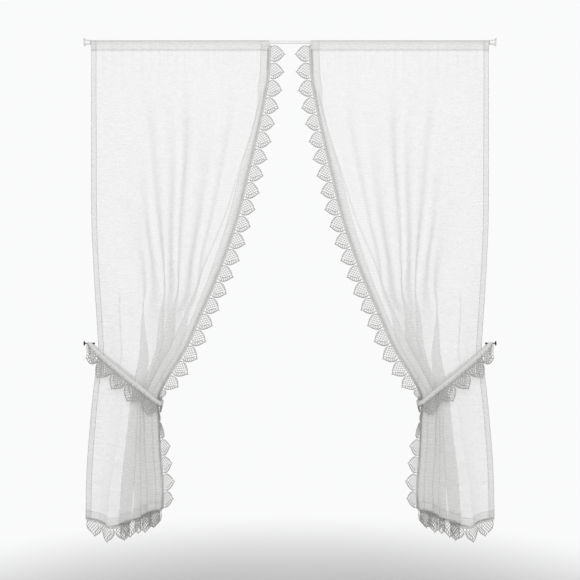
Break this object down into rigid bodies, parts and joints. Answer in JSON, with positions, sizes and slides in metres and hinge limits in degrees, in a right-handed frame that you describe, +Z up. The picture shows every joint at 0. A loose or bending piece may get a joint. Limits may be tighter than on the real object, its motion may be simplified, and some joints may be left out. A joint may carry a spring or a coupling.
{
  "type": "lace-edged curtain pair with rod",
  "caption": "Pair of sheer voile panels edged with knotted lace, tied back to the walls and hung by sewn pockets on one thin rod.",
  "frame": {"origin": "middle of the rod's centreline", "axes": "+X along the rod to the right as seen from the room, +Y away from the room, +Z up"},
  "size_m": [1.2, 0.0671, 1.4678],
  "materials": {
    "voile": "sheer white voile with slubs",
    "lace_yarn": "matt white knotted cotton lace",
    "white_metal": "satin white",
    "dark_metal": "dark bronzed"
  },
  "bodies": {
    "root": {"rod": "white_metal", "right_end_holder": "white_metal", "left_end_holder": "white_metal", "right_tieback_hook": "dark_metal", "left_tieback_hook": "dark_metal", "right_voile_panel": "voile", "left_voile_panel": "voile", "right_edge_lace": "lace_yarn", "left_edge_lace": "lace_yarn", "right_hem_lace": "lace_yarn", "left_hem_lace": "lace_yarn", "right_tieback_band": "voile", "left_tieback_band": "voile", "right_tieback_lace": "lace_yarn", "left_tieback_lace": "lace_yarn"}
  },
  "joints": []
}
